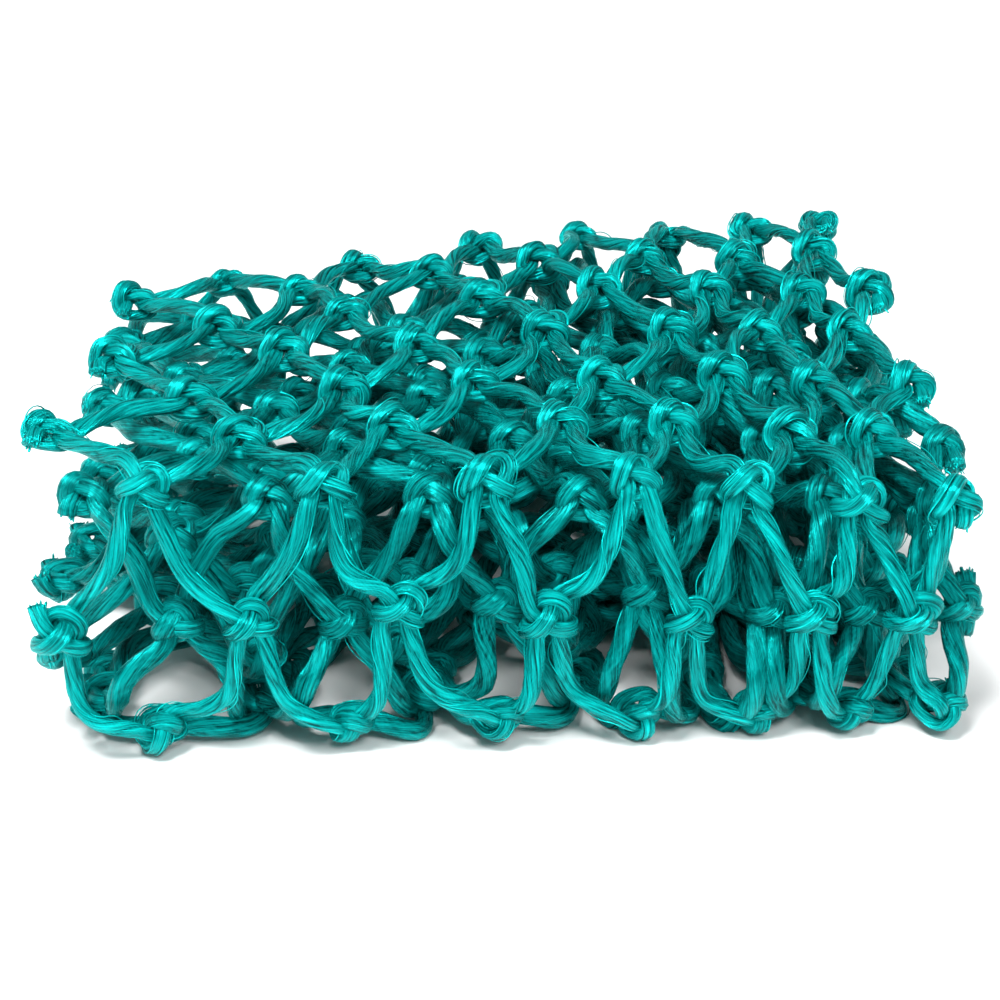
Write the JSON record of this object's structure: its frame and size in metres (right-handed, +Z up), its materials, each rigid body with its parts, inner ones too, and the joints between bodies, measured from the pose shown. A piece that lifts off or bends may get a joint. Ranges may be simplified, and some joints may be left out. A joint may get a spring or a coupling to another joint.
{
  "type": "folded knotted net",
  "caption": "Folded pack of knotted diamond-mesh twine netting whose top layer and front wall fold open.",
  "frame": {"origin": "middle of the pack's footprint, on the plane it rests on", "axes": "+X across the pack along its longest side, +Y from the front wall to the back, +Z up through the layers"},
  "size_m": [0.2306, 0.1975, 0.0793],
  "materials": {
    "twine_top": "silky twisted multifilament twine, bright turquoise",
    "twine_front": "silky twisted multifilament twine, turquoise",
    "twine_bottom": "silky twisted multifilament twine, dark teal",
    "twine_inner": "silky twisted multifilament twine, dark teal"
  },
  "bodies": {
    "base": {"bottom_twine_1": "twine_bottom", "bottom_twine_2": "twine_bottom", "bottom_twine_3": "twine_bottom", "bottom_twine_4": "twine_bottom", "bottom_twine_5": "twine_bottom", "bottom_twine_6": "twine_bottom", "core_twine_1": "twine_inner", "core_twine_10": "twine_inner", "core_twine_2": "twine_inner", "core_twine_3": "twine_inner", "core_twine_4": "twine_inner", "core_twine_5": "twine_inner", "core_twine_6": "twine_inner", "core_twine_7": "twine_inner", "core_twine_8": "twine_inner", "core_twine_9": "twine_inner", "wrap_2_twine_1": "twine_inner", "wrap_2_twine_10": "twine_inner", "wrap_2_twine_11": "twine_inner", "wrap_2_twine_12": "twine_inner", "wrap_2_twine_13": "twine_inner", "wrap_2_twine_14": "twine_inner", "wrap_2_twine_2": "twine_inner", "wrap_2_twine_3": "twine_inner", "wrap_2_twine_4": "twine_inner", "wrap_2_twine_5": "twine_inner", "wrap_2_twine_6": "twine_inner", "wrap_2_twine_7": "twine_inner", "wrap_2_twine_8": "twine_inner", "wrap_2_twine_9": "twine_inner", "wrap_3_twine_1": "twine_inner", "wrap_3_twine_10": "twine_inner", "wrap_3_twine_11": "twine_inner", "wrap_3_twine_2": "twine_inner", "wrap_3_twine_3": "twine_inner", "wrap_3_twine_4": "twine_inner", "wrap_3_twine_5": "twine_inner", "wrap_3_twine_6": "twine_inner", "wrap_3_twine_7": "twine_inner", "wrap_3_twine_8": "twine_inner", "wrap_3_twine_9": "twine_inner"},
    "front": {"front_twine_1": "twine_front", "front_twine_2": "twine_front"},
    "top": {"back_flap_twine": "twine_top", "top_twine_1": "twine_top", "top_twine_2": "twine_top", "top_twine_3": "twine_top", "top_twine_4": "twine_top", "top_twine_5": "twine_top", "top_twine_6": "twine_top"}
  },
  "joints": [
    {"name": "front_fold", "type": "hinge", "parent": "base", "child": "front", "pos_m": [0, -0.0894, 0.0053], "axis": [1, 0, 0], "range_deg": [0, 85]},
    {"name": "top_fold", "type": "hinge", "parent": "front", "child": "top", "pos_m": [0, -0.0894, 0.0653], "axis": [0.9991, -0.0271, -0.0325], "range_deg": [0, 90]}
  ]
}
